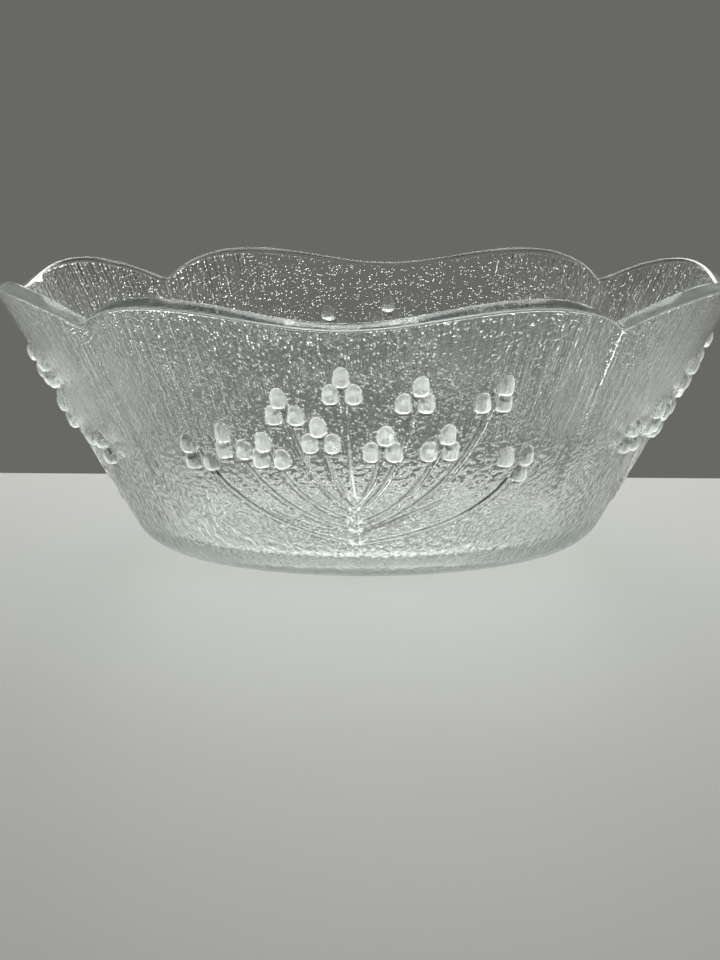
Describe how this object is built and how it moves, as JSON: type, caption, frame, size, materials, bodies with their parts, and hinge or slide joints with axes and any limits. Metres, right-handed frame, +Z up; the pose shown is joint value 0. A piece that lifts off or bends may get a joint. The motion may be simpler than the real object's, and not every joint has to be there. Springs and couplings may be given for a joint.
{
  "type": "art glass bowl",
  "caption": "Flared clear glass bowl with petals, a wavy rim, a flat base and a moulded spray of budded stems on each petal.",
  "frame": {"origin": "centre of the flat base, on the surface that the bowl stands on", "axes": "+Z up out of the bowl's mouth; a petal faces each of -Y, +X, +Y and -X, and -Y is the front"},
  "size_m": [0.2454, 0.2454, 0.0918],
  "materials": {
    "clear_glass": "clear pressed glass, faint green in the thick edges; smooth inside, finely textured outside"
  },
  "bodies": {
    "bowl": {"bowl": "clear_glass", "stems_front": "clear_glass", "buds_front": "clear_glass", "stems_right": "clear_glass", "buds_right": "clear_glass", "stems_back": "clear_glass", "buds_back": "clear_glass", "stems_left": "clear_glass", "buds_left": "clear_glass"}
  },
  "joints": []
}
